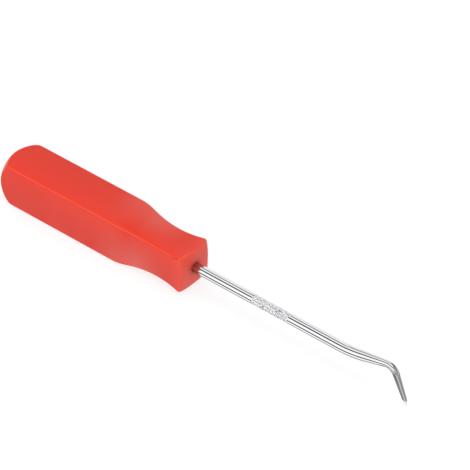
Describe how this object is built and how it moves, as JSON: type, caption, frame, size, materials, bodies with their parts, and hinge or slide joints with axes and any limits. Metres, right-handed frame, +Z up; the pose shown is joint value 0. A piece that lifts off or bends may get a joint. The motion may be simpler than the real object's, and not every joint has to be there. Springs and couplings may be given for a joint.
{
  "type": "o ring pick",
  "caption": "Hand pick with a square waisted plastic handle and a slim round steel shank, knurled along its middle and bent to a pointed hook, for lifting O-rings and seals out of grooves.",
  "frame": {"origin": "on the flat underside of the grip, below the middle of the handle", "axes": "+X along the handle towards the hook, +Z up from the face that the grip lies on"},
  "size_m": [0.142, 0.0138, 0.015],
  "materials": {
    "handle_plastic": "satin moulded red plastic",
    "plated_steel": "bright plated steel"
  },
  "bodies": {
    "root": {"handle": "handle_plastic", "shank": "plated_steel"}
  },
  "joints": []
}
